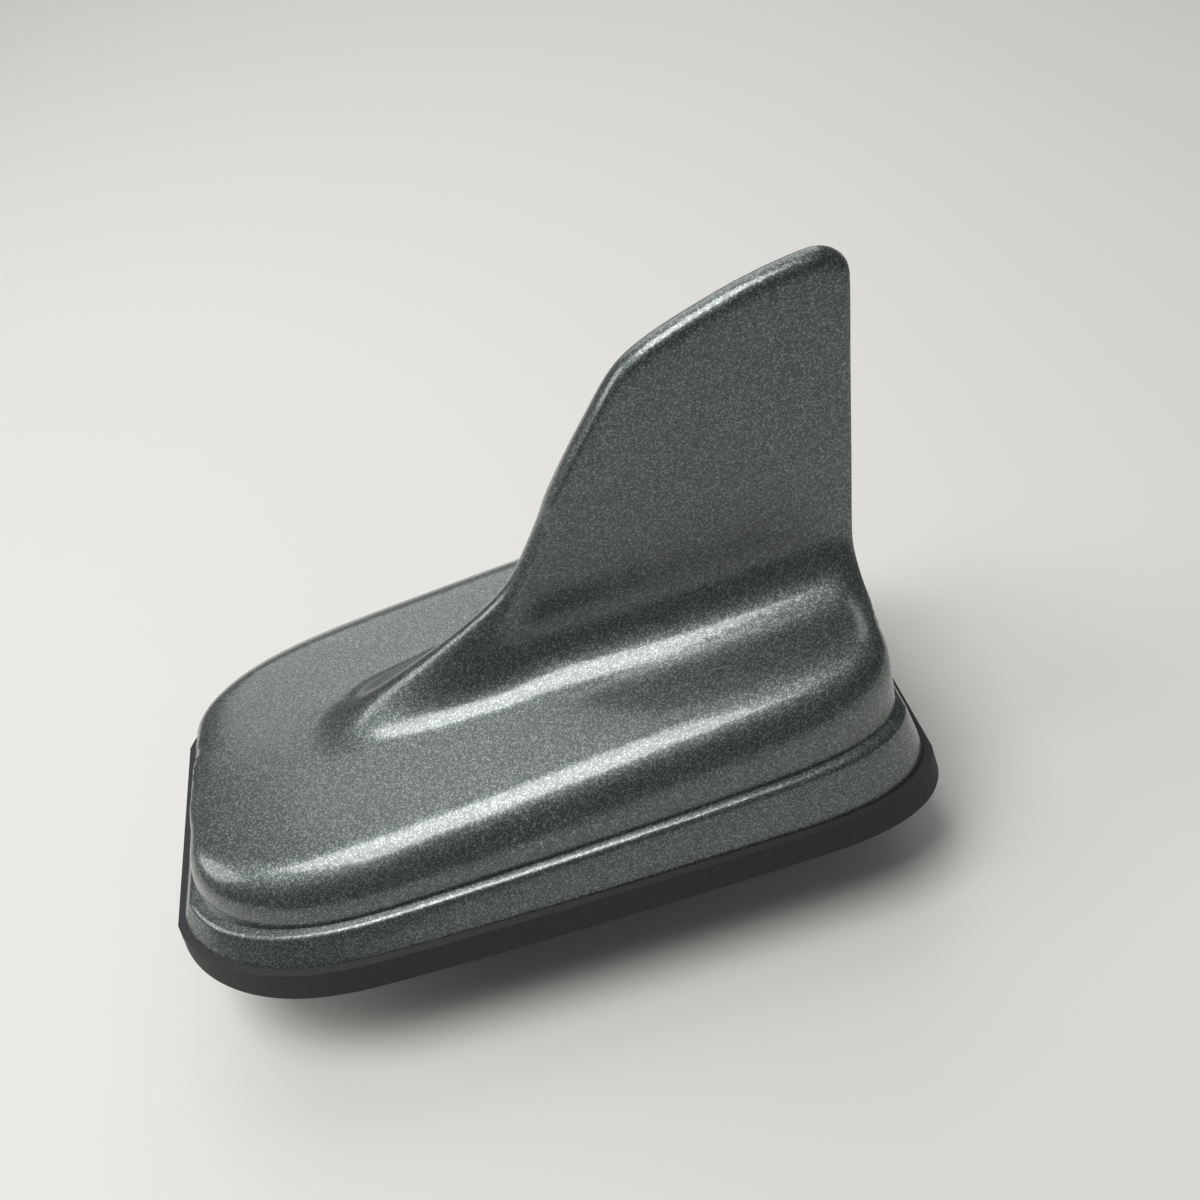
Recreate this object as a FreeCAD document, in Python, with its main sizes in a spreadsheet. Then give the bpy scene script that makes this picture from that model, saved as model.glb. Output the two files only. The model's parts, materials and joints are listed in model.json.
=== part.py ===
"""Roof antenna of the shark-fin kind: painted cover, rubber seal, cast base, electronics and sockets.

Frame: the origin is on the mounting stud's axis in the plane of the roof (the seal's contact face),
+X points to the rear of the vehicle, +Y to its right and +Z up. Sizes are in millimetres.
"""
import FreeCAD, Part
import math
import os
import Sketcher
from FreeCAD import Vector

DOC = FreeCAD.newDocument("RoofAntenna")
SHEET = DOC.addObject("Spreadsheet::Sheet", "Dims")

# Every driving dimension: alias, value.
DIMENSIONS = [
    # plan outline of the seal at the roof
    ("half_length", 54.0),
    ("half_width", 32.2),
    ("side_bulge", 1.2),
    ("nose_bow", 6.0),
    ("nose_flat", 12.0),
    ("tail_flat", 18.5),
    ("nose_corner", 30.0),
    ("tail_corner", 22.0),
    ("nose_roundness", 2.6),
    ("tail_roundness", 2.9),
    # seal band and cover skirt
    ("seal_height", 4.2),
    ("seal_draft", 0.7),
    ("seal_floor", 1.2),
    ("skirt_inset", 1.7),
    ("skirt_lean", 2.0),
    ("groove_rise", 9.6),
    ("groove_slope", 2.9),
    ("lip_round", 1.1),
    ("groove_depth", 1.1),
    # upper body of the cover
    ("wall_lean", 0.12),
    ("shoulder_round", 7.5),
    ("shoulder_round_end", 5.0),
    ("nose_run", 22.0),
    ("tail_run", 16.0),
    ("deck_rise", 19.2),
    ("deck_slope", 5.6),
    ("deck_crown", 0.055),
    ("nose_drop", 2.4),
    ("tail_drop", 3.2),
    ("nose_lean", 0.16),
    ("nose_lean_run", 30.0),
    # fin
    ("fin_root_x", -27.0),
    ("fin_foot_x", 1.6),
    ("fin_foot_z", 30.6),
    ("fin_bend_x", 22.8),
    ("fin_bend_z", 59.0),
    ("fin_top_x", 47.0),
    ("fin_top_z", 68.0),
    ("fin_tip_round", 5.0),
    ("fin_top_radius", 2.1),
    ("fin_blend", 9.5),
    ("fin_blend_root", 7.0),
    ("fin_flank_share", 0.62),
    ("fin_draft", 0.065),
    ("fin_edge_round", 1.0),
    ("fin_tail_lean", 0.06),
    ("fin_tail_run", 25.0),
    # cover walls
    ("cover_wall", 2.2),
    ("fin_wall", 1.5),
    ("mouth_inset", 9.0),
    ("boss_nose_gap", 17.0),
    ("boss_front_y", 16.0),
    ("boss_tail_gap", 18.0),
    ("boss_rear_y", 18.5),
    ("boss_radius", 3.2),
    # base plate
    ("plate_inset", 6.0),
    ("plate_top", 3.4),
    ("fit_gap", 0.3),
    ("opening_inset", 13.0),
    ("spigot_length", 34.0),
    ("spigot_width", 22.0),
    ("spigot_depth", 3.0),
    ("roof_ring_width", 3.0),
    ("gasket_inset", 6.9),
    ("gasket_width", 1.7),
    # fasteners
    ("screw_radius", 1.25),
    ("screw_length", 5.6),
    ("screw_head_radius", 2.3),
    ("screw_head_height", 1.2),
    ("stud_radius", 4.0),
    ("stud_reach", 15.0),
    ("stud_head_across", 12.0),
    ("stud_head_height", 3.6),
    ("stud_chamfer", 0.7),
    ("running_gap", 0.15),
    # main board
    ("board_bottom", 4.8),
    ("board_thick", 1.0),
    ("board_nose_gap", 22.5),
    ("board_tail_gap", 23.5),
    ("board_half_width", 17.5),
    ("post_radius", 2.4),
    ("post_inset", 3.2),
    ("board_screw_radius", 1.0),
    ("board_screw_head", 1.8),
    ("board_screw_head_height", 1.1),
    ("board_screw_length", 3.4),
    # satellite patch
    ("patch_side", 17.0),
    ("patch_height", 3.6),
    ("patch_nose_gap", 33.5),
    ("patch_pad_thick", 0.3),
    ("patch_metal_side", 13.5),
    ("patch_metal_thick", 0.15),
    ("feed_radius", 0.45),
    ("feed_offset", 1.6),
    # screening can
    ("can_length", 12.0),
    ("can_width", 12.0),
    ("can_height", 2.8),
    ("can_wall", 0.3),
    ("can_tail_gap", 35.4),
    ("can_y", 9.5),
    # upright board in the fin
    ("fin_board_thick", 0.8),
    ("fin_board_front_x", 8.0),
    ("fin_board_foot_gap", 26.0),
    ("fin_board_tail_gap", 12.0),
    ("fin_board_step_z", 14.0),
    ("fin_board_knee_z", 26.0),
    ("fin_board_top_x", 28.0),
    ("fin_board_top_z", 54.0),
    ("fin_board_tip_z", 58.0),
    ("foam_length", 9.0),
    ("foam_height", 10.0),
    ("foam_thick", 1.2),
    ("foam_tail_gap", 24.0),
    ("foam_z", 30.0),
    # coaxial sockets
    ("socket_radius", 4.6),
    ("socket_bore", 3.6),
    ("socket_reach", 14.0),
    ("socket_floor", 1.2),
    ("socket_front_x", -11.2),
    ("socket_rear_x", 11.2),
    ("socket_rear_y", 5.2),
    ("shell_radius", 2.3),
    ("shell_wall", 0.35),
    ("shell_tip", 8.6),
    ("insulator_tip", 8.0),
    ("pin_radius", 0.45),
    ("pin_tip", 8.3),
]
for row, (alias, value) in enumerate(DIMENSIONS, start=1):
    SHEET.set("A%d" % row, alias)
    SHEET.set("B%d" % row, repr(value))
    SHEET.setAlias("B%d" % row, alias)
DOC.recompute()


def size(alias):
    """Return the value of a driving dimension as a plain number."""
    value = SHEET.get(alias)
    return float(getattr(value, "Value", value))


def smooth_step(t):
    """Return the cubic ease of t from 0 to 1."""
    t = min(1.0, max(0.0, t))
    return t * t * (3.0 - 2.0 * t)


def end_round(distance, radius):
    """Return how far a quarter round of that radius has dropped at a distance from its end."""
    distance += 0.15 * radius
    if distance >= radius:
        return 0.0
    return radius - math.sqrt(max(0.0, radius * radius - (radius - distance) ** 2))


# Plan outline

# How far a cutting tool runs past the faces that it cuts.
OVERCUT = 1.0
# Most of the half width inside the shoulder that the fin's blend may take.
DECK_SHARE = 0.7
# Share of an inset by which the flat ends grow shorter.
FLAT_SHARE = 0.35
SIDE_STATIONS = 12
CORNER_STATIONS = 9
NOSE_START = math.radians(10.0)
TAIL_START = math.radians(14.0)


def outline_points(inset):
    """Return the right-hand half of the plan outline, nose to tail, moved in by an inset."""
    half_length = size("half_length") - inset
    bow = size("nose_bow")
    points = []
    nose_flat = size("nose_flat") - FLAT_SHARE * inset
    tail_flat = size("tail_flat") - FLAT_SHARE * inset
    nose_corner = size("nose_corner")
    tail_corner = size("tail_corner")

    def width_at(x):
        u = x / size("half_length")
        return size("half_width") - size("side_bulge") * u * u - inset

    for i in range(CORNER_STATIONS):
        angle = NOSE_START + (0.5 * math.pi - NOSE_START) * i / CORNER_STATIONS
        power = 2.0 / size("nose_roundness")
        x = -half_length + nose_corner * (1.0 - math.cos(angle) ** power)
        y = nose_flat + (width_at(x) - nose_flat) * math.sin(angle) ** power
        points.append((x, y))
    for i in range(SIDE_STATIONS + 1):
        t = i / SIDE_STATIONS
        x = -half_length + nose_corner + t * (2.0 * half_length - nose_corner - tail_corner)
        points.append((x, width_at(x)))
    for i in range(CORNER_STATIONS - 1, -1, -1):
        angle = TAIL_START + (0.5 * math.pi - TAIL_START) * i / CORNER_STATIONS
        power = 2.0 / size("tail_roundness")
        x = half_length - tail_corner * (1.0 - math.cos(angle) ** power)
        y = tail_flat + (width_at(x) - tail_flat) * math.sin(angle) ** power
        points.append((x, y))
    bowed = []
    for x, y in points:
        share = max(0.0, -x / size("half_length")) ** 2
        bowed.append((x + bow * share * (y / size("half_width")) ** 2, y))
    return bowed


def outline_wire(inset, height):
    """Return the closed outline at an inset; height is a function of x."""
    right = [Vector(x, y, height(x)) for x, y in outline_points(inset)]
    left = [Vector(v.x, -v.y, v.z) for v in right]
    right_curve = Part.BSplineCurve()
    right_curve.interpolate(right)
    left_curve = Part.BSplineCurve()
    left_curve.interpolate(left[::-1])
    edges = [
        right_curve.toShape(),
        Part.makeLine(right[-1], left[-1]),
        left_curve.toShape(),
        Part.makeLine(left[0], right[0]),
    ]
    return Part.Wire(edges)


def prism(inset_low, low, inset_high, high):
    """Return the solid between two outlines, each at its own inset and height."""
    wires = [
        outline_wire(inset_low, low),
        outline_wire(inset_high, high),
    ]
    return Part.makeLoft(wires, True, True)


def level(z):
    """Return a height function that is the same everywhere."""
    return lambda x: z


def groove_height(x):
    """Return the height of the groove round the cover, rising to the rear."""
    return size("groove_rise") + size("groove_slope") * x / size("half_length")


# Skin of the upper body and fin

def hermite(x, knots):
    """Return the monotone cubic through (x, z, slope) knots."""
    if x <= knots[0][0]:
        return knots[0][1] + knots[0][2] * (x - knots[0][0])
    for (x0, z0, s0), (x1, z1, s1) in zip(knots, knots[1:]):
        if x <= x1:
            w = x1 - x0
            t = (x - x0) / w
            a = z0 * (1 + 2 * t) * (1 - t) ** 2 + s0 * w * t * (1 - t) ** 2
            b = z1 * t * t * (3 - 2 * t) + s1 * w * t * t * (t - 1)
            return a + b
    return knots[-1][1] + knots[-1][2] * (x - knots[-1][0])


def deck_height(x):
    """Return the height of the deck on the centre line, fin left out."""
    return size("deck_rise") + size("deck_slope") * x / size("half_length")


def ridge_height(x):
    """Return the height of the fin's ridge on the centre line."""
    root_x = size("fin_root_x")
    root_z = deck_height(root_x)
    slope = size("deck_slope") / size("half_length")
    foot = (size("fin_foot_x"), size("fin_foot_z"))
    bend = (size("fin_bend_x"), size("fin_bend_z"))
    top = (size("fin_top_x"), size("fin_top_z"))
    lead = (bend[1] - foot[1]) / (bend[0] - foot[0])
    ramp = (foot[1] - root_z) / (foot[0] - root_x)
    crest = (top[1] - bend[1]) / (top[0] - bend[0])
    # shares of each stretch and of its mean slope that give the hollow ramp and the full brow
    knots = [
        (root_x, root_z, slope),
        (root_x + 0.3 * (foot[0] - root_x), root_z + 0.26 * (foot[1] - root_z), 0.95 * ramp),
        (foot[0], foot[1], 1.35 * ramp),
        (foot[0] + 0.45 * (bend[0] - foot[0]), foot[1] + 0.45 * (bend[1] - foot[1]), 1.14 * lead),
        (bend[0], bend[1], 0.85 * lead),
        (bend[0] + 0.28 * (top[0] - bend[0]), bend[1] + 0.46 * (top[1] - bend[1]), 1.25 * crest),
        (top[0], top[1], 0.1 * crest),
    ]
    return hermite(x, knots)


def section_points(half_wall, bottom, shoulder, deck, ridge, top_radius, blend):
    """Return half a cross-section from the wall's foot to the ridge, as (y, z) pairs.

    The wall leans in, rolls over the shoulder on to the deck, sweeps up into the fin's flank and
    rounds over the ridge. Each stretch keeps its number of points at every station.
    """
    crown = size("deck_crown")
    deck_angle = math.atan(crown)
    lean = math.atan(size("wall_lean"))
    rise = max(0.0, ridge - deck)
    link = size("fin_flank_share") * blend

    def climb(angle):
        run = (blend - link * math.cos(angle)) * math.tan(0.5 * angle)
        return run + link * math.sin(angle)

    steepest = 0.5 * math.pi - math.atan(size("fin_draft"))
    low, high = 0.0, steepest
    for _ in range(60):
        middle = 0.5 * (low + high)
        if climb(middle) < rise:
            low = middle
        else:
            high = middle
    slope = 0.5 * (low + high)
    if slope > 1e-4:
        radii = (blend - link * math.cos(slope)) / math.sin(slope)
    else:
        radii = None
    flank = link
    if climb(steepest) < rise:
        slope = steepest
        radii = (blend - link * math.cos(slope)) / math.sin(slope)
        flank = (rise - radii * (1.0 - math.cos(slope))) / math.sin(slope)
    share = min(0.5, top_radius / blend)
    reach = blend
    if radii is not None:
        reach = radii * math.sin(slope) + flank * math.cos(slope)

    def deck_line(y):
        return deck - crown * y

    points = []
    # shoulder arc between the leaning wall and the deck
    turn = 0.5 * math.pi - lean - deck_angle
    corner_y = half_wall
    for _ in range(20):
        corner_y = half_wall - math.tan(lean) * (deck_line(corner_y) - bottom)
    corner = (corner_y, deck_line(corner_y))
    tangent = min(shoulder * math.tan(0.5 * turn), 0.86 * (corner[1] - bottom))
    arc_radius = tangent / math.tan(0.5 * turn)
    start = (corner[0] + math.sin(lean) * tangent, corner[1] - math.cos(lean) * tangent)
    centre = (start[0] - arc_radius * math.cos(lean), start[1] - arc_radius * math.sin(lean))
    for i in range(2):
        t = i / 2.0
        points.append((half_wall + (start[0] - half_wall) * t, bottom + (start[1] - bottom) * t))
    for i in range(5):
        angle = lean + turn * i / 5.0
        points.append((centre[0] + arc_radius * math.cos(angle), centre[1] + arc_radius * math.sin(angle)))
    end = (centre[0] + arc_radius * math.cos(lean + turn), centre[1] + arc_radius * math.sin(lean + turn))
    for i in range(4):
        t = i / 4.0
        y = end[0] + (reach - end[0]) * t
        points.append((y, deck_line(y)))

    # fin: blend, flank and ridge, laid over the sloping deck line
    def lift(y):
        return deck_line(y) if radii is None else deck - crown * y * smooth_step(y / reach)

    outer = 1.0 - share
    for i in range(5):
        t = i / 5.0
        if radii is None:
            y = reach - outer * (blend - link) * t
            z = 0.0
        else:
            angle = slope * t
            y = reach - outer * radii * math.sin(angle)
            z = outer * radii * (1.0 - math.cos(angle))
        points.append((y, z + lift(y)))
    for i in range(4):
        t = i / 4.0
        if radii is None:
            y = reach - outer * (blend - link) - link * t
            z = 0.0
        else:
            y = reach - outer * radii * math.sin(slope) - flank * math.cos(slope) * t
            z = outer * radii * (1.0 - math.cos(slope)) + flank * math.sin(slope) * t
        points.append((y, z + lift(y)))
    for i in range(5):
        t = i / 4.0
        if radii is None:
            y = share * (blend - link) * (1.0 - t)
            z = 0.0
        else:
            angle = slope * (1.0 - t)
            y = share * radii * math.sin(angle)
            z = rise - share * radii * (1.0 - math.cos(angle))
        points.append((max(0.0, y), z + lift(y)))
    return points


def spread(rows):
    """Return the mean chord-length parameters, 0 to 1, along rows of points."""
    total = [0.0] * len(rows[0])
    for row in rows:
        length = sum(a.distanceToPoint(b) for a, b in zip(row, row[1:]))
        run = 0.0
        for i in range(1, len(row)):
            run += row[i - 1].distanceToPoint(row[i])
            total[i] += run / length / len(rows)
    return total


def through(points, parameters):
    """Return the cubic spline through points at given parameters."""
    curve = Part.BSplineCurve()
    curve.interpolate(Points=points, Parameters=parameters)
    return curve


def skinned(rows):
    """Return the spline surface through a grid of points, the same on both sides of the middle."""
    across = spread(rows)
    across = [0.5 * (a + 1.0 - b) for a, b in zip(across, across[::-1])]
    along = spread([list(column) for column in zip(*rows)])
    sections = [through(row, across) for row in rows]
    strips = [through(list(column), along) for column in zip(*[c.getPoles() for c in sections])]
    poles = [list(row) for row in zip(*[c.getPoles() for c in strips])]
    surface = Part.BSplineSurface()
    surface.buildFromPolesMultsKnots(
        poles,
        strips[0].getMultiplicities(),
        sections[0].getMultiplicities(),
        strips[0].getKnots(),
        sections[0].getKnots(),
        False,
        False,
        strips[0].Degree,
        sections[0].Degree,
    )
    return surface


def skin_solid(inset, bottom, wall, fin_wall):
    """Return the solid under the cover's skin.

    Args: inset of the wall's foot in plan, bottom as a function of x, and the distances by which
    the deck and the fin are drawn in (0 for the outside, the wall thickness for the hollow).
    """
    outline = outline_points(inset)
    nose_x = outline[0][0]
    tail_x = outline[-1][0]
    rows = []
    for x, half_wall in outline:
        from_nose = x - nose_x
        from_tail = tail_x - x
        drop = end_round(from_nose, size("nose_drop")) + end_round(from_tail, size("tail_drop"))
        past_nose = smooth_step(from_nose / size("nose_run"))
        past_tail = smooth_step(from_tail / size("tail_run"))
        near_end = min(past_nose, past_tail)
        shoulder_end = size("shoulder_round_end")
        shoulder = shoulder_end + (size("shoulder_round") - 0.5 * wall - shoulder_end) * near_end
        top_radius = size("fin_top_radius") - 0.3 * fin_wall
        top_radius = max(0.5, top_radius - 0.5 * end_round(from_tail, size("fin_edge_round")))
        past_root = smooth_step((x - size("fin_root_x")) / (size("fin_foot_x") - size("fin_root_x")))
        blend = size("fin_blend_root") + (size("fin_blend") - size("fin_blend_root")) * past_root
        blend += 0.35 * fin_wall - end_round(from_tail, size("fin_edge_round"))
        # near the ends the deck keeps a stretch of its own between shoulder and blend
        blend = min(blend, DECK_SHARE * (half_wall - shoulder))
        deck = deck_height(x) - wall - drop
        # the steep leading edge is drawn back as well as down, so that its wall keeps its thickness
        ridge = ridge_height(x + 0.55 * fin_wall) - 1.25 * fin_wall
        ridge -= end_round(from_tail, size("fin_tip_round"))
        half = section_points(half_wall, bottom(x), shoulder, deck, ridge, top_radius, blend)
        row = []
        for y, z in half:
            above = z - bottom(x)
            lean = size("nose_lean") * above * (1.0 - smooth_step(from_nose / size("nose_lean_run")))
            tail = size("fin_tail_lean") * above * smooth_step(1.0 - from_tail / size("fin_tail_run"))
            row.append(Vector(x + lean + tail, y, z))
        left = [Vector(v.x, -v.y, v.z) for v in row[:-1]]
        rows.append(row + left[::-1])
    surface = skinned(rows)
    u_low, u_high, v_low, v_high = surface.bounds()
    faces = [surface.toShape()]
    for u, row in ((u_low, rows[0]), (u_high, rows[-1])):
        wire = Part.Wire([surface.uIso(u).toShape(), Part.makeLine(row[-1], row[0])])
        faces.append(Part.Face(wire))
    faces.append(Part.makeRuledSurface(surface.vIso(v_low).toShape(), surface.vIso(v_high).toShape()))
    shell = Part.makeShell(faces)
    shell.sewShape(1e-3)
    solid = Part.makeSolid(shell)
    if solid.Volume < 0:
        solid.reverse()
    return solid


# Shapes that follow the outline

def cover_shape():
    """Return the one-piece fin cover: skirt, groove, body and fin, hollow, with four screw bosses."""
    seal_top = size("seal_height")
    lip_inset = size("skirt_inset") + size("skirt_lean")
    skirt = prism(size("skirt_inset"), level(seal_top), lip_inset, groove_height)
    rim = [e for e in skirt.Edges if all(abs(v.Z - groove_height(v.X)) < 1e-3 for v in e.Vertexes)]
    skirt = skirt.makeFillet(size("lip_round"), rim)

    def body_foot(x):
        return groove_height(x) - size("lip_round")

    body = skin_solid(lip_inset + size("groove_depth"), body_foot, 0.0, 0.0)
    whole = body.fuse(skirt)
    mouth = level(seal_top - OVERCUT)
    hollow = skin_solid(size("mouth_inset"), mouth, size("cover_wall"), size("fin_wall"))
    shell = whole.cut(hollow)
    pilot = size("screw_radius") + size("running_gap")
    for x, y in boss_places():
        stub = Part.makeCylinder(size("boss_radius"), size("fin_top_z"), Vector(x, y, size("plate_top")))
        shell = shell.fuse(stub.common(whole.fuse(plug())))
    for x, y in boss_places():
        depth = size("screw_length") + size("running_gap")
        hole = Part.makeCylinder(pilot, depth, Vector(x, y, size("plate_top")))
        shell = shell.cut(hole)
    return shell.removeSplitter()


def plug():
    """Return the block under the cover's mouth in which the bosses reach down to the plate."""
    inset = size("mouth_inset")
    return prism(inset, level(size("plate_top")), inset, level(size("seal_height") + OVERCUT))


def boss_places():
    """Return the four screw places as (x, y)."""
    front_x = size("boss_nose_gap") - size("half_length")
    rear_x = size("half_length") - size("boss_tail_gap")
    return [
        (front_x, size("boss_front_y")),
        (front_x, -size("boss_front_y")),
        (rear_x, size("boss_rear_y")),
        (rear_x, -size("boss_rear_y")),
    ]


def seal_shape():
    """Return the rubber seal: a band round the plate with a thin floor under its edge."""
    band = prism(0.0, level(0.0), size("seal_draft"), level(size("seal_height")))
    inset = size("plate_inset")
    pocket = prism(inset, level(size("seal_floor")), inset, level(size("seal_height") + OVERCUT))
    inset = size("opening_inset")
    opening = prism(inset, level(-OVERCUT), inset, level(size("seal_floor") + OVERCUT))
    return band.cut(pocket).cut(opening)


def plate_shape():
    """Return the edge-following part of the base plate."""
    inset = size("plate_inset") + size("fit_gap")
    return prism(inset, level(size("seal_floor")), inset, level(size("plate_top")))


def gasket_shape():
    """Return the flat gasket between the plate's edge and the cover's rim."""
    low = level(size("plate_top"))
    high = level(size("seal_height"))
    outer = prism(size("gasket_inset"), low, size("gasket_inset"), high)
    inset = size("gasket_inset") + size("gasket_width")
    inner_low = level(size("plate_top") - OVERCUT)
    inner_high = level(size("seal_height") + OVERCUT)
    inner = prism(inset, inner_low, inset, inner_high)
    return outer.cut(inner)


# Document objects bound to the sheet

def bound(obj, **expressions):
    """Bind properties of an object to sheet expressions; double underscores stand for dots."""
    for name, expression in expressions.items():
        obj.setExpression(name.replace("__", "."), expression)
    return obj


def box(name, x, y, z, length, width, height):
    """Add a box with its low corner at x, y, z."""
    obj = DOC.addObject("Part::Box", name)
    place = {"Placement__Base__x": x, "Placement__Base__y": y, "Placement__Base__z": z}
    return bound(obj, Length=length, Width=width, Height=height, **place)


def cylinder(name, x, y, z, radius, height):
    """Add an upright cylinder with its foot at x, y, z."""
    obj = DOC.addObject("Part::Cylinder", name)
    place = {"Placement__Base__x": x, "Placement__Base__y": y, "Placement__Base__z": z}
    return bound(obj, Radius=radius, Height=height, **place)


def free_form(name, shape):
    """Add a shape that follows the outline."""
    obj = DOC.addObject("Part::Feature", name)
    obj.Shape = shape
    obj.Placement = FreeCAD.Placement()
    return obj


def fused(name, objects):
    """Add the union of objects."""
    obj = DOC.addObject("Part::MultiFuse", name)
    obj.Shapes = objects
    obj.Refine = True
    return obj


def cut(name, base, tool):
    """Add a base with a tool cut out of it."""
    obj = DOC.addObject("Part::Cut", name)
    obj.Base = base
    obj.Tool = tool
    return obj


def grouped(name, objects):
    """Add a set of separate identical pieces."""
    obj = DOC.addObject("Part::Compound", name)
    obj.Links = objects
    return obj


SUBPARTS = []


def subpart(obj, label):
    """Name an object's file and list it for writing."""
    obj.Label = label
    SUBPARTS.append(obj)
    return obj


BOARD_TOP = "(Dims.board_bottom + Dims.board_thick)"
BOSS_FRONT_X = "Dims.boss_nose_gap - Dims.half_length"
BOSS_REAR_X = "Dims.half_length - Dims.boss_tail_gap"
COVER_SCREWS = [
    (BOSS_FRONT_X, "Dims.boss_front_y"),
    (BOSS_FRONT_X, "-Dims.boss_front_y"),
    (BOSS_REAR_X, "Dims.boss_rear_y"),
    (BOSS_REAR_X, "-Dims.boss_rear_y"),
]
FIN_BOARD_REAR_X = "Dims.half_length - Dims.fin_board_tail_gap"
BOARD_FRONT_X = "(Dims.board_nose_gap - Dims.half_length)"
BOARD_REAR_X = "(Dims.half_length - Dims.board_tail_gap)"
BOARD_SCREWS = [
    (BOARD_FRONT_X + " + Dims.post_inset", "Dims.board_half_width - Dims.post_inset"),
    (BOARD_FRONT_X + " + Dims.post_inset", "-Dims.board_half_width + Dims.post_inset"),
    (BOARD_REAR_X + " - Dims.post_inset", "Dims.board_half_width - Dims.post_inset"),
    (BOARD_REAR_X + " - Dims.post_inset", "-Dims.board_half_width + Dims.post_inset"),
]
PATCH_X = "(Dims.patch_nose_gap - Dims.half_length)"
CAN_X = "(Dims.half_length - Dims.can_tail_gap)"
FIN_BOARD_FOOT_X = "Dims.half_length - Dims.fin_board_foot_gap"
SOCKETS = [
    ("Dims.socket_front_x", "0"),
    ("Dims.socket_rear_x", "Dims.socket_rear_y"),
    ("Dims.socket_rear_x", "-Dims.socket_rear_y"),
]


def add_outline_pieces():
    """Add the cover, the seal and the gasket."""
    subpart(free_form("FinCover", cover_shape()), "fin_cover")
    subpart(free_form("BaseSeal", seal_shape()), "base_seal")
    subpart(free_form("CoverGasket", gasket_shape()), "cover_gasket")


def add_base_plate():
    """Add the cast plate with its spigot, board posts and all its holes."""
    spigot = box(
        "Spigot",
        "-Dims.spigot_length / 2",
        "-Dims.spigot_width / 2",
        "-Dims.spigot_depth",
        "Dims.spigot_length",
        "Dims.spigot_width",
        "Dims.spigot_depth + Dims.plate_top",
    )
    solid = [free_form("PlateEdge", plate_shape()), spigot]
    holes = []
    for i, (x, y) in enumerate(BOARD_SCREWS):
        post_height = "Dims.board_bottom - Dims.seal_floor"
        solid.append(cylinder("Post%d" % i, x, y, "Dims.seal_floor", "Dims.post_radius", post_height))
        low = "Dims.board_bottom - Dims.board_screw_length + Dims.board_thick - Dims.running_gap"
        radius = "Dims.board_screw_radius + Dims.running_gap"
        holes.append(cylinder("PostHole%d" % i, x, y, low, radius, "Dims.board_screw_length + 2"))
    for i, (x, y) in enumerate(COVER_SCREWS):
        radius = "Dims.screw_radius + Dims.running_gap"
        holes.append(cylinder("ScrewHole%d" % i, x, y, "Dims.seal_floor - 1", radius, "Dims.plate_top + 2"))
        radius = "Dims.screw_head_radius + Dims.fit_gap"
        depth = "1 + Dims.screw_head_height"
        holes.append(cylinder("HeadSink%d" % i, x, y, "Dims.seal_floor - 1", radius, depth))
    pocket = DOC.addObject("Part::Prism", "StudPocket")
    pocket.Polygon = 6
    bound(
        pocket,
        Circumradius="(Dims.stud_head_across / 2 + Dims.running_gap) / cos(30)",
        Height="Dims.stud_head_height + 2",
        Placement__Base__z="Dims.plate_top - Dims.stud_head_height",
    )
    holes.append(pocket)
    radius = "Dims.stud_radius + Dims.fit_gap + Dims.running_gap"
    holes.append(cylinder("StudBore", "0", "0", "-Dims.spigot_depth - 1", radius, "Dims.spigot_depth + 4"))
    for i, (x, y) in enumerate(SOCKETS):
        radius = "Dims.shell_radius + Dims.running_gap"
        depth = "Dims.spigot_depth + Dims.plate_top + 2"
        holes.append(cylinder("ShellHole%d" % i, x, y, "-Dims.spigot_depth - 1", radius, depth))
    plate = cut("BasePlate", fused("PlateSolid", solid), fused("PlateHoles", holes))
    subpart(plate, "base_plate")


def add_roof_ring():
    """Add the foam ring that lies round the spigot on the roof."""
    outer = box(
        "RingOuter",
        "-Dims.spigot_length / 2 - Dims.roof_ring_width",
        "-Dims.spigot_width / 2 - Dims.roof_ring_width",
        "0",
        "Dims.spigot_length + 2 * Dims.roof_ring_width",
        "Dims.spigot_width + 2 * Dims.roof_ring_width",
        "Dims.seal_floor",
    )
    inner = box(
        "RingInner",
        "-Dims.spigot_length / 2 - Dims.running_gap",
        "-Dims.spigot_width / 2 - Dims.running_gap",
        "-1",
        "Dims.spigot_length + 2 * Dims.running_gap",
        "Dims.spigot_width + 2 * Dims.running_gap",
        "Dims.seal_floor + 2",
    )
    subpart(cut("SpigotRing", outer, inner), "spigot_ring")


def add_stud():
    """Add the hexagon-headed stud that holds the antenna to the roof."""
    head = DOC.addObject("Part::Prism", "StudHead")
    head.Polygon = 6
    bound(
        head,
        Circumradius="Dims.stud_head_across / 2 / cos(30)",
        Height="Dims.stud_head_height",
        Placement__Base__z="Dims.plate_top - Dims.stud_head_height",
    )
    low = "-Dims.stud_reach + Dims.stud_chamfer"
    height = "Dims.plate_top - Dims.stud_head_height / 2 + Dims.stud_reach - Dims.stud_chamfer"
    shank = cylinder("StudShank", "0", "0", low, "Dims.stud_radius", height)
    height = "Dims.plate_top - Dims.stud_head_height / 2 + Dims.spigot_depth"
    radius = "Dims.stud_radius + Dims.fit_gap"
    collar = cylinder("StudCollar", "0", "0", "-Dims.spigot_depth", radius, height)
    end = DOC.addObject("Part::Cone", "StudEnd")
    bound(
        end,
        Radius1="Dims.stud_radius - Dims.stud_chamfer",
        Radius2="Dims.stud_radius",
        Height="Dims.stud_chamfer",
        Placement__Base__z="-Dims.stud_reach",
    )
    subpart(fused("MountingStud", [head, collar, shank, end]), "mounting_stud")


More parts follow.
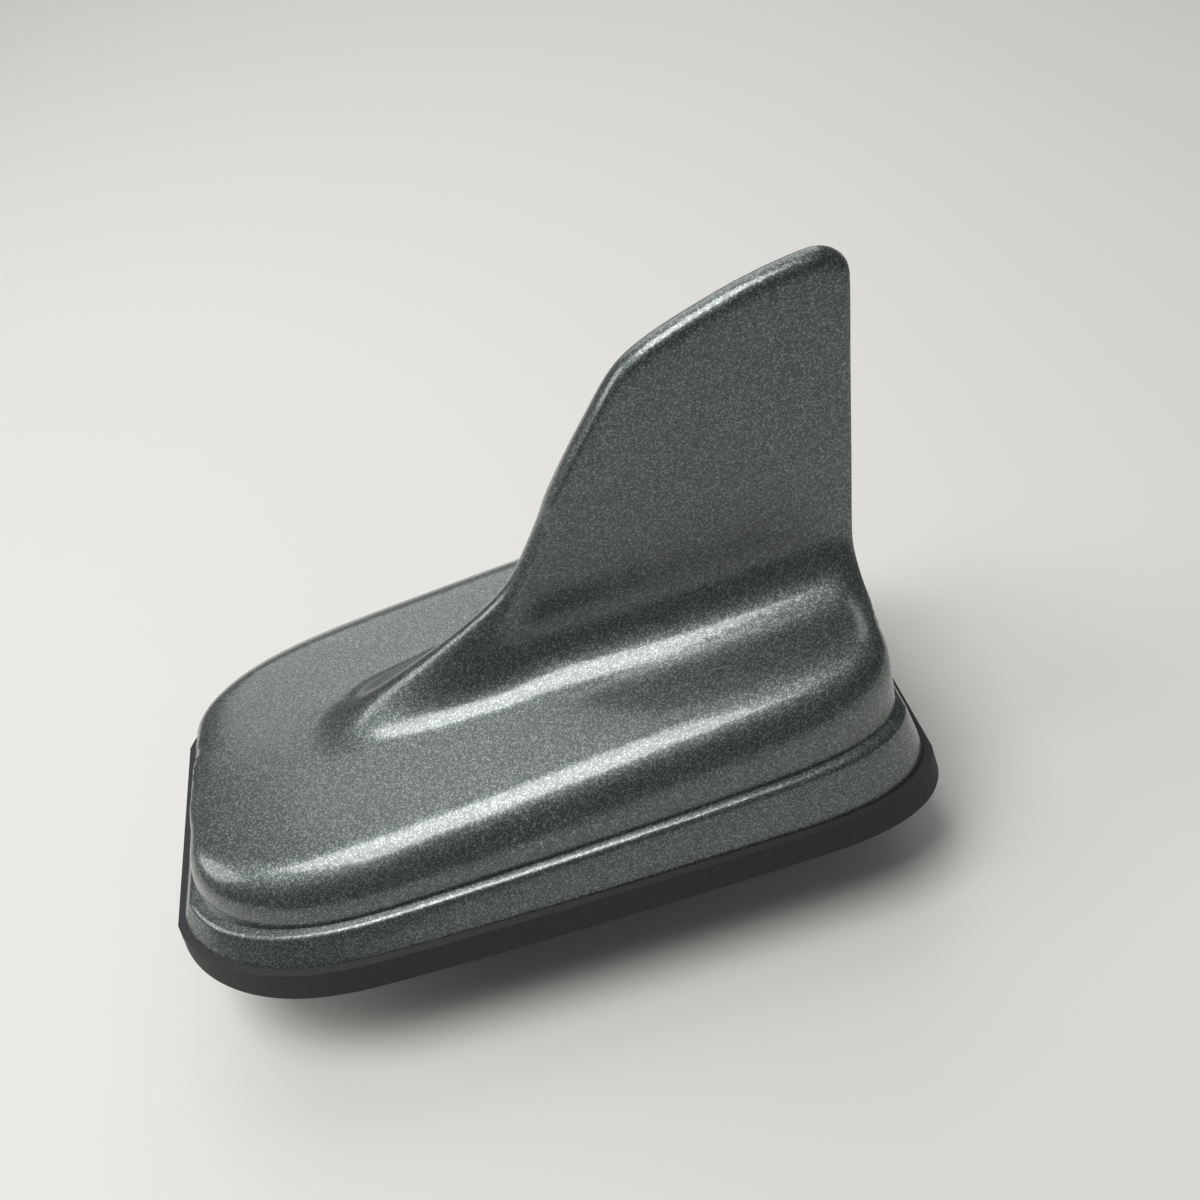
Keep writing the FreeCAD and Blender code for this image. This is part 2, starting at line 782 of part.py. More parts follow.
def add_cover_screws():
    """Add the four screws that hold the plate to the cover."""
    screws = []
    for i, (x, y) in enumerate(COVER_SCREWS):
        height = "Dims.screw_head_height"
        head = cylinder("Head%d" % i, x, y, "Dims.seal_floor", "Dims.screw_head_radius", height)
        height = "Dims.plate_top - Dims.seal_floor + Dims.screw_length"
        shank = cylinder("Shank%d" % i, x, y, "Dims.seal_floor", "Dims.screw_radius", height)
        drive = DOC.addObject("Part::Prism", "Drive%d" % i)
        drive.Polygon = 6
        bound(
            drive,
            Circumradius="Dims.screw_radius * 0.8",
            Height="Dims.screw_head_height * 0.6 + 1",
            Placement__Base__x=x,
            Placement__Base__y=y,
            Placement__Base__z="Dims.seal_floor - 1",
        )
        screws.append(cut("Screw%d" % i, fused("ScrewSolid%d" % i, [head, shank]), drive))
    subpart(grouped("CoverScrews", screws), "cover_screws")


def add_boards():
    """Add the main board, its screws and the upright board that fills the fin."""
    plain = box(
        "BoardPlain",
        BOARD_FRONT_X,
        "-Dims.board_half_width",
        "Dims.board_bottom",
        BOARD_REAR_X + " - " + BOARD_FRONT_X,
        "2 * Dims.board_half_width",
        "Dims.board_thick",
    )
    holes = []
    screws = []
    hole_low = "Dims.board_bottom - 1"
    hole_height = "Dims.board_thick + 2"
    for i, (x, y) in enumerate(BOARD_SCREWS):
        radius = "Dims.board_screw_radius + Dims.running_gap"
        holes.append(cylinder("BoardHole%d" % i, x, y, hole_low, radius, hole_height))
        low = BOARD_TOP + " - Dims.board_screw_length"
        length = "Dims.board_screw_length"
        shank = cylinder("BoardShank%d" % i, x, y, low, "Dims.board_screw_radius", length)
        height = "Dims.board_screw_head_height"
        head = cylinder("BoardHead%d" % i, x, y, BOARD_TOP, "Dims.board_screw_head", height)
        screws.append(fused("BoardScrew%d" % i, [shank, head]))
    for i, (x, y) in enumerate(SOCKETS):
        radius = "Dims.pin_radius + Dims.running_gap"
        holes.append(cylinder("PinHole%d" % i, x, y, hole_low, radius, hole_height))
    subpart(cut("MainBoard", plain, fused("BoardHoles", holes)), "main_board")
    subpart(grouped("BoardScrews", screws), "board_screws")

    body = DOC.addObject("PartDesign::Body", "FinBoard")
    plane = next(f for f in body.Origin.OriginFeatures if f.Role == "XZ_Plane")
    sketch = body.newObject("Sketcher::SketchObject", "FinBoardSketch")
    sketch.AttachmentSupport = (plane, [""])
    sketch.MapMode = "FlatFace"
    corners = [
        ("Dims.fin_board_front_x", BOARD_TOP),
        (FIN_BOARD_FOOT_X, BOARD_TOP),
        (FIN_BOARD_FOOT_X, "Dims.fin_board_step_z"),
        (FIN_BOARD_REAR_X, "Dims.fin_board_step_z"),
        (FIN_BOARD_REAR_X, "Dims.fin_board_tip_z"),
        ("Dims.fin_board_top_x", "Dims.fin_board_top_z"),
        ("Dims.fin_board_front_x", "Dims.fin_board_knee_z"),
    ]
    board_top = size("board_bottom") + size("board_thick")
    foot_x = size("half_length") - size("fin_board_foot_gap")
    rear_x = size("half_length") - size("fin_board_tail_gap")
    rough = [
        (size("fin_board_front_x"), board_top),
        (foot_x, board_top),
        (foot_x, size("fin_board_step_z")),
        (rear_x, size("fin_board_step_z")),
        (rear_x, size("fin_board_tip_z")),
        (size("fin_board_top_x"), size("fin_board_top_z")),
        (size("fin_board_front_x"), size("fin_board_knee_z")),
    ]
    for (x0, z0), (x1, z1) in zip(rough, rough[1:] + rough[:1]):
        sketch.addGeometry(Part.LineSegment(Vector(x0, z0, 0.0), Vector(x1, z1, 0.0)))
    count = len(corners)
    for i in range(count):
        sketch.addConstraint(Sketcher.Constraint("Coincident", i, 2, (i + 1) % count, 1))
    for i, (x, z) in enumerate(corners):
        across = sketch.addConstraint(Sketcher.Constraint("DistanceX", -1, 1, i, 1, rough[i][0]))
        sketch.setExpression("Constraints[%d]" % across, x)
        upward = sketch.addConstraint(Sketcher.Constraint("DistanceY", -1, 1, i, 1, rough[i][1]))
        sketch.setExpression("Constraints[%d]" % upward, z)
    pad = body.newObject("PartDesign::Pad", "FinBoardPad")
    pad.Profile = sketch
    pad.SideType = "Symmetric"
    pad.setExpression("Length", "Dims.fin_board_thick")
    body.Tip = pad
    subpart(body, "fin_board")

    pads = []
    for i, side in enumerate(("Dims.fin_board_thick / 2", "-Dims.fin_board_thick / 2 - Dims.foam_thick")):
        pads.append(box(
            "Foam%d" % i,
            "Dims.half_length - Dims.foam_tail_gap",
            side,
            "Dims.foam_z",
            "Dims.foam_length",
            "Dims.foam_thick",
            "Dims.foam_height",
        ))
    subpart(grouped("FinFoam", pads), "fin_foam")


def add_patch():
    """Add the satellite patch: adhesive pad, ceramic, silvered electrode and feed pin."""
    pin_x = PATCH_X + " + Dims.feed_offset"
    bore = "Dims.feed_radius + Dims.running_gap"

    def layer(name, side, low, height):
        plain = box(
            name + "Plain",
            PATCH_X + " - Dims.%s / 2" % side,
            "-Dims.%s / 2" % side,
            low,
            "Dims.%s" % side,
            "Dims.%s" % side,
            height,
        )
        hole = cylinder(name + "Hole", pin_x, "0", low + " - 1", bore, height + " + 2")
        return cut(name, plain, hole)

    ceramic_low = BOARD_TOP + " + Dims.patch_pad_thick"
    metal_low = ceramic_low + " + Dims.patch_height"
    subpart(layer("PatchPad", "patch_side", BOARD_TOP, "Dims.patch_pad_thick"), "patch_pad")
    subpart(layer("PatchCeramic", "patch_side", ceramic_low, "Dims.patch_height"), "patch_ceramic")
    electrode = layer("PatchElectrode", "patch_metal_side", metal_low, "Dims.patch_metal_thick")
    subpart(electrode, "patch_electrode")
    height = "Dims.patch_pad_thick + Dims.patch_height + 2 * Dims.patch_metal_thick"
    subpart(cylinder("PatchFeedPin", pin_x, "0", BOARD_TOP, "Dims.feed_radius", height), "patch_feed_pin")


def add_can():
    """Add the folded screening can over the amplifier."""
    outer = box(
        "CanOuter",
        CAN_X + " - Dims.can_length / 2",
        "Dims.can_y - Dims.can_width / 2",
        BOARD_TOP,
        "Dims.can_length",
        "Dims.can_width",
        "Dims.can_height",
    )
    inner = box(
        "CanInner",
        CAN_X + " - Dims.can_length / 2 + Dims.can_wall",
        "Dims.can_y - Dims.can_width / 2 + Dims.can_wall",
        BOARD_TOP + " - 1",
        "Dims.can_length - 2 * Dims.can_wall",
        "Dims.can_width - 2 * Dims.can_wall",
        "Dims.can_height - Dims.can_wall + 1",
    )
    subpart(cut("ShieldCan", outer, inner), "shield_can")


def add_sockets():
    """Add the three coaxial sockets: coded housings, contact shells, insulators and pins."""
    shells = []
    insulators = []
    pins = []
    labels = ("socket_housing_front", "socket_housing_right", "socket_housing_left")
    for i, (x, y) in enumerate(SOCKETS):
        height = "Dims.socket_reach - Dims.spigot_depth"
        wall = cylinder("Housing%d" % i, x, y, "-Dims.socket_reach", "Dims.socket_radius", height)
        depth = "Dims.socket_reach - Dims.spigot_depth - Dims.socket_floor + 1"
        bore = cylinder("HousingBore%d" % i, x, y, "-Dims.socket_reach - 1", "Dims.socket_bore", depth)
        radius = "Dims.shell_radius + Dims.running_gap"
        eye = cylinder("HousingEye%d" % i, x, y, "-Dims.socket_reach", radius, "Dims.socket_reach")
        subpart(cut("SocketHousing%d" % i, wall, fused("HousingTool%d" % i, [bore, eye])), labels[i])
        top = "Dims.board_bottom - Dims.fit_gap"
        height = top + " + Dims.shell_tip"
        tube = cylinder("ShellSolid%d" % i, x, y, "-Dims.shell_tip", "Dims.shell_radius", height)
        radius = "Dims.shell_radius - Dims.shell_wall"
        height = "Dims.shell_tip + Dims.board_bottom + 2"
        inside = cylinder("ShellInside%d" % i, x, y, "-Dims.shell_tip - 1", radius, height)
        shells.append(cut("Shell%d" % i, tube, inside))
        radius = "Dims.shell_radius - Dims.shell_wall - Dims.running_gap"
        core = cylinder("Core%d" % i, x, y, "-Dims.insulator_tip", radius, top + " + Dims.insulator_tip")
        radius = "Dims.pin_radius + Dims.running_gap"
        eye = cylinder("CoreEye%d" % i, x, y, "-Dims.insulator_tip - 1", radius, "Dims.insulator_tip + 8")
        insulators.append(cut("Insulator%d" % i, core, eye))
        height = BOARD_TOP + " + Dims.pin_tip"
        pins.append(cylinder("Pin%d" % i, x, y, "-Dims.pin_tip", "Dims.pin_radius", height))
    subpart(grouped("SocketShells", shells), "socket_shells")
    subpart(grouped("SocketInsulators", insulators), "socket_insulators")
    subpart(grouped("SocketPins", pins), "socket_pins")


def write_parts():
    """Check every object, then write each sub-part to its own file."""
    DOC.recompute()
    for obj in DOC.Objects:
        if "Invalid" in obj.State or "Error" in obj.State:
            raise RuntimeError("object %s did not build: %s" % (obj.Name, obj.State))
    os.makedirs("parts", exist_ok=True)
    for obj in SUBPARTS:
        if obj.Shape.isNull() or not obj.Shape.isValid() or not obj.Shape.Solids:
            raise RuntimeError("sub-part %s has no sound shape" % obj.Label)
        obj.Shape.exportStep("parts/%s.step" % obj.Label)


add_outline_pieces()
add_base_plate()
add_roof_ring()
add_stud()
add_cover_screws()
add_boards()
add_patch()
add_can()
add_sockets()
write_parts()
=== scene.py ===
"""Looks of the roof antenna: paint, rubber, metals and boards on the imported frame, with camera and light."""
import json
import logging
import math
from dataclasses import dataclass, field
from enum import Enum
from typing import Any, Dict, List, Optional, Sequence, Tuple

import bmesh
import bpy
from mathutils import Matrix, Vector, kdtree

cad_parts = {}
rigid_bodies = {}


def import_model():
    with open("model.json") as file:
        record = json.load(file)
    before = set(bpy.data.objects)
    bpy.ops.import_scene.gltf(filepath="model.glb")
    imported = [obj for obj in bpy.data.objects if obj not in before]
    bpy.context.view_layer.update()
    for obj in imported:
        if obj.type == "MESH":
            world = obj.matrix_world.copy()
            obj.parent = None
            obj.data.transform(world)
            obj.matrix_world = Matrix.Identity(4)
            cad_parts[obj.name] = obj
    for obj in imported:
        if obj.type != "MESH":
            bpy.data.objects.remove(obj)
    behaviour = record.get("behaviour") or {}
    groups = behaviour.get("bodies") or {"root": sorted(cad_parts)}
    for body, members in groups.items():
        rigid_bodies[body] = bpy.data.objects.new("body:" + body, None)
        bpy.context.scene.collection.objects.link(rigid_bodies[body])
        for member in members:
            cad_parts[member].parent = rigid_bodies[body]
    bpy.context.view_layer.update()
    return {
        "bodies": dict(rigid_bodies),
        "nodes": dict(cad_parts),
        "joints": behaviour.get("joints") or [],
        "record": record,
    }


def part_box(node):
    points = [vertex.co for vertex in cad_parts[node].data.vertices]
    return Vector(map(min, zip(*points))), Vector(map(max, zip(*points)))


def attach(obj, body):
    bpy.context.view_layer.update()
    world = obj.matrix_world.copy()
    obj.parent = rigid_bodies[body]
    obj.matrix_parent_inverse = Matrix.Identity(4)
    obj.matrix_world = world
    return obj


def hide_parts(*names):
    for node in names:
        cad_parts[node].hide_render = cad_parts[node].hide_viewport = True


LOG = logging.getLogger("roof_antenna")
MM = 0.001
# Points of a node's loose triangles that lie this close are one point.
MERGE_MM = 0.0005
# Edges sharper than this stay sharp when a piece is shaded smooth.
CREASE_DEG = 35.0
Colour = Tuple[float, float, float, float]


def linear(hex_colour: str) -> Colour:
    """Turn an sRGB hex colour into linear values.

    Args:
        hex_colour: Six hex digits after a hash sign.

    Returns:
        Red, green, blue and alpha.
    """
    values = []
    for i in (1, 3, 5):
        channel = int(hex_colour[i:i + 2], 16) / 255.0
        values.append(channel / 12.92 if channel <= 0.04045 else ((channel + 0.055) / 1.055) ** 2.4)
    return (values[0], values[1], values[2], 1.0)


def add_node(
    tree: bpy.types.NodeTree,
    kind: str,
    settings: Optional[Dict[str, Any]] = None,
    values: Optional[Dict[Any, Any]] = None,
    links: Optional[Dict[Any, bpy.types.NodeSocket]] = None,
) -> bpy.types.Node:
    """Add one node with its settings, socket values and incoming links.

    Args:
        tree: Tree that gets the node.
        kind: The node's type name.
        settings: Properties of the node.
        values: Default values by input name or number.
        links: Sockets that feed the inputs, by input name or number.

    Returns:
        The new node.
    """
    node = tree.nodes.new(kind)
    for name, value in (settings or {}).items():
        setattr(node, name, value)
    for name, value in (values or {}).items():
        node.inputs[name].default_value = value
    for name, socket in (links or {}).items():
        tree.links.new(socket, node.inputs[name])
    return node


# A brushed pattern is scaled by this along X, so that a streak is about twelve times as long as it is wide.
BRUSH_RATIO = 0.08
# Every fine pattern has the same kind of noise, cut to its middle values, and the same depth of relief.
GRAIN_DETAIL = 3.0
GRAIN_ROUGHNESS = 0.6
GRAIN_LOW = 0.3
GRAIN_HIGH = 0.7
GRAIN_STRENGTH = 0.5


class Pattern(Enum):
    """Fine surface patterns that a finish can carry."""

    NONE = "none"
    GRAIN = "grain"
    BRUSHED = "brushed"


@dataclass(frozen=True)
class Finish:
    """A plain finish: one colour, a shader set-up and an optional fine pattern.

    The pattern size is the real size of one grain in millimetres, the relief is its depth, and the spread is
    the share by which its colour varies.
    """

    name: str
    colour: str
    roughness: float
    metallic: float = 0.0
    coat: float = 0.0
    pattern: Pattern = Pattern.GRAIN
    pattern_mm: float = 0.4
    relief_mm: float = 0.02
    spread: float = 0.12

    def material(self) -> bpy.types.Material:
        """Build the material, once for each name.

        Returns:
            The material.
        """
        found = bpy.data.materials.get(self.name)
        if found is not None:
            return found
        made = bpy.data.materials.new(self.name)
        made.use_nodes = True
        made.diffuse_color = linear(self.colour)
        tree = made.node_tree
        tree.nodes.clear()
        shader = add_node(
            tree,
            "ShaderNodeBsdfPrincipled",
            values={
                "Base Color": linear(self.colour),
                "Roughness": self.roughness,
                "Metallic": self.metallic,
                "Coat Weight": self.coat,
            },
        )
        add_node(tree, "ShaderNodeOutputMaterial", links={"Surface": shader.outputs[0]})
        if self.pattern is not Pattern.NONE:
            self.add_pattern(tree, shader)
        return made

    def add_pattern(self, tree: bpy.types.NodeTree, shader: bpy.types.Node) -> None:
        """Lay the fine pattern into the colour and the relief.

        Args:
            tree: The material's tree.
            shader: Its shader node.
        """
        place = add_node(tree, "ShaderNodeTexCoord")
        along = BRUSH_RATIO if self.pattern is Pattern.BRUSHED else 1.0
        mapped = add_node(
            tree,
            "ShaderNodeMapping",
            values={"Scale": (along, 1.0, 1.0)},
            links={"Vector": place.outputs["Object"]},
        )
        noise = add_node(
            tree,
            "ShaderNodeTexNoise",
            values={
                "Scale": 1.0 / (self.pattern_mm * MM),
                "Detail": GRAIN_DETAIL,
                "Roughness": GRAIN_ROUGHNESS,
            },
            links={"Vector": mapped.outputs[0]},
        )
        base = linear(self.colour)
        spread = self.spread
        ramp = add_node(tree, "ShaderNodeValToRGB", links={"Fac": noise.outputs[0]})
        low, high = ramp.color_ramp.elements
        low.position = GRAIN_LOW
        low.color = tuple(c * (1.0 - spread) for c in base[:3]) + (1.0,)
        high.position = GRAIN_HIGH
        high.color = tuple(min(1.0, c * (1.0 + spread)) for c in base[:3]) + (1.0,)
        bump = add_node(
            tree,
            "ShaderNodeBump",
            values={"Strength": GRAIN_STRENGTH, "Distance": self.relief_mm * MM},
            links={"Height": noise.outputs[0]},
        )
        tree.links.new(ramp.outputs[0], shader.inputs["Base Color"])
        tree.links.new(bump.outputs[0], shader.inputs["Normal"])


@dataclass(frozen=True)
class FlakePaint:
    """Metallic car paint: dark grey-green base coat with aluminium flake under a gloss clear coat.

    The flake is far finer than a render's pixel, so it is drawn as coarse as it needs to show. Scuffs and
    nicks lie in boxes given in millimetres, and show where a noise of the marks' size passes their level.
    """

    name: str = "metallic_car_paint"
    dark: str = "#3D4341"
    mid: str = "#535A57"
    bright: str = "#8A938E"
    scuff: str = "#B9BDB8"
    flake_mm: float = 0.15
    flake_mid_at: float = 0.62
    flake_relief_mm: float = 0.012
    flake_strength: float = 0.22
    metallic: float = 0.85
    roughness: float = 0.40
    clear_roughness: float = 0.14
    clear_ior: float = 1.5
    scuff_low: Tuple[float, float, float] = (-8.0, -29.0, 11.5)
    scuff_high: Tuple[float, float, float] = (8.0, -20.5, 17.5)
    nick_low: Tuple[float, float, float] = (-53.0, -27.0, 3.9)
    nick_high: Tuple[float, float, float] = (-42.0, -10.0, 5.1)
    scuff_mark_mm: Tuple[float, float, float] = (0.35, 0.6, 1.5)
    scuff_level: float = 0.58
    nick_mark_mm: Tuple[float, float, float] = (1.2, 1.6, 0.5)
    nick_level: float = 0.60
    mark_softness: float = 0.09
    mark_detail: float = 4.0
    mark_roughness: float = 0.65
    wear_strength: float = 0.9
    core_share: float = 0.6

    def region(
        self,
        tree: bpy.types.NodeTree,
        parts: bpy.types.Node,
        low: Sequence[float],
        high: Sequence[float],
    ) -> bpy.types.NodeSocket:
        """Build a mask that is 1 inside a soft box.

        Args:
            tree: The material's tree.
            parts: Separate XYZ of the object coordinates.
            low: Lowest corner in millimetres.
            high: Highest corner in millimetres.

        Returns:
            The mask's socket.
        """
        total = None
        for axis in range(3):
            centre = 0.5 * (low[axis] + high[axis]) * MM
            half = 0.5 * (high[axis] - low[axis]) * MM
            away = add_node(
                tree,
                "ShaderNodeMath",
                {"operation": "SUBTRACT"},
                {1: centre},
                {0: parts.outputs[axis]},
            )
            size = add_node(tree, "ShaderNodeMath", {"operation": "ABSOLUTE"}, None, {0: away.outputs[0]})
            edge = add_node(
                tree,
                "ShaderNodeMapRange",
                {"interpolation_type": "SMOOTHSTEP"},
                {"From Min": half, "From Max": self.core_share * half, "To Min": 0.0, "To Max": 1.0},
                {"Value": size.outputs[0]},
            )
            if total is None:
                total = edge.outputs[0]
            else:
                product = add_node(
                    tree,
                    "ShaderNodeMath",
                    {"operation": "MULTIPLY"},
                    None,
                    {0: total, 1: edge.outputs[0]},
                )
                total = product.outputs[0]
        return total

    def marks(
        self,
        tree: bpy.types.NodeTree,
        place: bpy.types.Node,
        mask: bpy.types.NodeSocket,
        scale_mm: Tuple[float, float, float],
        threshold: float,
    ) -> bpy.types.NodeSocket:
        """Build broken light marks inside a mask.

        Args:
            tree: The material's tree.
            place: Texture coordinate node.
            mask: Where the marks may be.
            scale_mm: Size of one mark along each axis.
            threshold: Noise level above which a mark shows.

        Returns:
            The marks' socket.
        """
        mapped = add_node(
            tree,
            "ShaderNodeMapping",
            None,
            {"Scale": tuple(1.0 / (s * MM) for s in scale_mm)},
            {"Vector": place.outputs["Object"]},
        )
        noise = add_node(
            tree,
            "ShaderNodeTexNoise",
            None,
            {"Scale": 1.0, "Detail": self.mark_detail, "Roughness": self.mark_roughness},
            {"Vector": mapped.outputs[0]},
        )
        cut = add_node(
            tree,
            "ShaderNodeMapRange",
            None,
            {"From Min": threshold, "From Max": threshold + self.mark_softness},
            {"Value": noise.outputs[0]},
        )
        both = add_node(
            tree,
            "ShaderNodeMath",
            {"operation": "MULTIPLY"},
            None,
            {0: cut.outputs[0], 1: mask},
        )
        return both.outputs[0]

    def material(self) -> bpy.types.Material:
        """Build the paint.

        Returns:
            The material.
        """
        made = bpy.data.materials.new(self.name)
        made.use_nodes = True
        made.diffuse_color = linear(self.mid)
        tree = made.node_tree
        tree.nodes.clear()
        place = add_node(tree, "ShaderNodeTexCoord")
        cells = add_node(
            tree,
            "ShaderNodeTexVoronoi",
            None,
            {"Scale": 1.0 / (self.flake_mm * MM)},
            {"Vector": place.outputs["Object"]},
        )
        tint = add_node(tree, "ShaderNodeSeparateColor", None, None, {0: cells.outputs["Color"]})
        flake = add_node(tree, "ShaderNodeValToRGB", None, None, {"Fac": tint.outputs[0]})
        flake.color_ramp.elements[0].color = linear(self.dark)
        flake.color_ramp.elements[1].color = linear(self.bright)
        middle = flake.color_ramp.elements.new(self.flake_mid_at)
        middle.color = linear(self.mid)
        parts = add_node(tree, "ShaderNodeSeparateXYZ", None, None, {0: place.outputs["Object"]})
        scuffed = self.region(tree, parts, self.scuff_low, self.scuff_high)
        streaks = self.marks(tree, place, scuffed, self.scuff_mark_mm, self.scuff_level)
        nicked = self.region(tree, parts, self.nick_low, self.nick_high)
        nicks = self.marks(tree, place, nicked, self.nick_mark_mm, self.nick_level)
        wear = add_node(tree, "ShaderNodeMath", {"operation": "MAXIMUM"}, None, {0: streaks, 1: nicks})
        soft = add_node(
            tree,
            "ShaderNodeMath",
            {"operation": "MULTIPLY"},
            {1: self.wear_strength},
            {0: wear.outputs[0]},
        )
        colour = add_node(
            tree,
            "ShaderNodeMix",
            {"data_type": "RGBA"},
            {7: linear(self.scuff)},
            {0: soft.outputs[0], 6: flake.outputs[0]},
        )
        relief = add_node(
            tree,
            "ShaderNodeBump",
            None,
            {"Strength": self.flake_strength, "Distance": self.flake_relief_mm * MM},
            {"Height": tint.outputs[1]},
        )
        shader = add_node(
            tree,
            "ShaderNodeBsdfPrincipled",
            None,
            {
                "Roughness": self.roughness,
                "Metallic": self.metallic,
                "Coat Weight": 1.0,
                "Coat Roughness": self.clear_roughness,
                "Coat IOR": self.clear_ior,
            },
            {"Base Color": colour.outputs[2], "Normal": relief.outputs[0]},
        )
        add_node(tree, "ShaderNodeOutputMaterial", None, None, {"Surface": shader.outputs[0]})
        return made


# Matt moulded EPDM: near black, soft sheen, fine moulding grain.
SEAL_RUBBER = Finish("epdm_rubber", "#1A1B1B", 0.66, pattern_mm=0.7, relief_mm=0.05, spread=0.35)
# Closed-cell foam: black, dull, with visible pores.
FOAM = Finish("closed_cell_foam", "#252627", 0.95, pattern_mm=0.5, relief_mm=0.12, spread=0.4)
# Die-cast aluminium: pale grey, slightly mottled as cast.
CAST_METAL = Finish("die_cast_aluminium", "#A9AAA8", 0.48, 1.0, pattern_mm=1.1, relief_mm=0.03, spread=0.2)
# Zinc-plated steel: bright with a faint cloudy bloom.
ZINC_STEEL = Finish("zinc_plated_steel", "#B9B8B0", 0.3, 1.0, pattern_mm=1.6, relief_mm=0.004, spread=0.15)
# Tinned sheet: soft bright grey with fine rolling lines.
TINNED_SHEET = Finish(
    "tinned_sheet",
    "#C3C4C4",
    0.28,
    1.0,
    pattern=Pattern.BRUSHED,
    pattern_mm=0.25,
    relief_mm=0.004,
)
# Green solder mask over glass fibre: satin with a faint weave.
CIRCUIT_BOARD = Finish("solder_mask_board", "#1C5A34", 0.35, pattern_mm=0.6, relief_mm=0.01, spread=0.15)
# Foam tape: white and dull, with open cells.
FOAM_TAPE = Finish("foam_tape", "#D9D8D2", 0.9, pattern_mm=0.35, relief_mm=0.06)
# Fired ceramic: buff, chalky, faintly speckled.
FIRED_CERAMIC = Finish("fired_ceramic", "#D2C39B", 0.7, pattern_mm=0.4, spread=0.1)
# Silver print: pale metal, softly rough with screen marks.
SILVER_PRINT = Finish("silver_print", "#D6D6D2", 0.42, 1.0, pattern_mm=0.2, relief_mm=0.006)
# Plated brass contacts: warm bright metal with drawing lines.
CONTACT_BRASS = Finish("plated_brass", "#D0A94B", 0.25, 1.0, pattern_mm=0.5, relief_mm=0.003, spread=0.08)
# Moulded nylon housings in their code colours: satin with spark-eroded grain.
NYLON_BLUE = Finish("nylon_blue", "#23509C", 0.45, pattern_mm=0.3, relief_mm=0.015)
NYLON_BLACK = Finish("nylon_black", "#232323", 0.45, pattern_mm=0.3, relief_mm=0.015)
NYLON_VIOLET = Finish("nylon_violet", "#6B2E7E", 0.45, pattern_mm=0.3, relief_mm=0.015)
# White insulator: waxy and smooth, barely clouded.
INSULATOR = Finish("white_insulator", "#E4E3DE", 0.4, pattern_mm=1.0, relief_mm=0.002, spread=0.05)

PLAIN_FINISHES: Dict[str, Finish] = {
    "cover_gasket": SEAL_RUBBER,
    "spigot_ring": FOAM,
    "fin_foam": FOAM,
    "base_plate": CAST_METAL,
    "cover_screws": ZINC_STEEL,
    "board_screws": ZINC_STEEL,
    "main_board": CIRCUIT_BOARD,
    "fin_board": CIRCUIT_BOARD,
    "patch_pad": FOAM_TAPE,
    "patch_ceramic": FIRED_CERAMIC,
    "patch_electrode": SILVER_PRINT,
    "patch_feed_pin": CONTACT_BRASS,
    "shield_can": TINNED_SHEET,
    "socket_housing_front": NYLON_BLUE,
    "socket_housing_right": NYLON_BLACK,
    "socket_housing_left": NYLON_VIOLET,
    "socket_shells": CONTACT_BRASS,
    "socket_insulators": INSULATOR,
    "socket_pins": CONTACT_BRASS,
}


def dress(obj: bpy.types.Object, material: bpy.types.Material) -> None:
    """Give a piece one material.

    Args:
        obj: The piece.
        material: Its material.
    """
    obj.data.materials.clear()
    obj.data.materials.append(material)
    for polygon in obj.data.polygons:
        polygon.material_index = 0


def mark_creases(work: bmesh.types.BMesh) -> None:
    """Shade every face smooth and keep the sharp edges.

    Args:
        work: The mesh.
    """
    limit = math.radians(CREASE_DEG)
    for face in work.faces:
        face.smooth = True
    for edge in work.edges:
        edge.smooth = len(edge.link_faces) == 2 and edge.calc_face_angle(0.0) < limit


def smooth_copy(source: bpy.types.Object, name: str) -> bpy.types.Object:
    """Copy a frame node, merge its loose triangles and shade it smooth up to a crease angle.

    Args:
        source: The frame's node.
        name: Name of the copy.

    Returns:
        The copy, at the origin.
    """
    mesh = source.data.copy()
    mesh.name = name
    work = bmesh.new()
    work.from_mesh(mesh)
    bmesh.ops.remove_doubles(work, verts=work.verts, dist=MERGE_MM * MM)
    mark_creases(work)
    work.to_mesh(mesh)
    work.free()
    made = bpy.data.objects.new(name, mesh)
    bpy.context.scene.collection.objects.link(made)
    return made


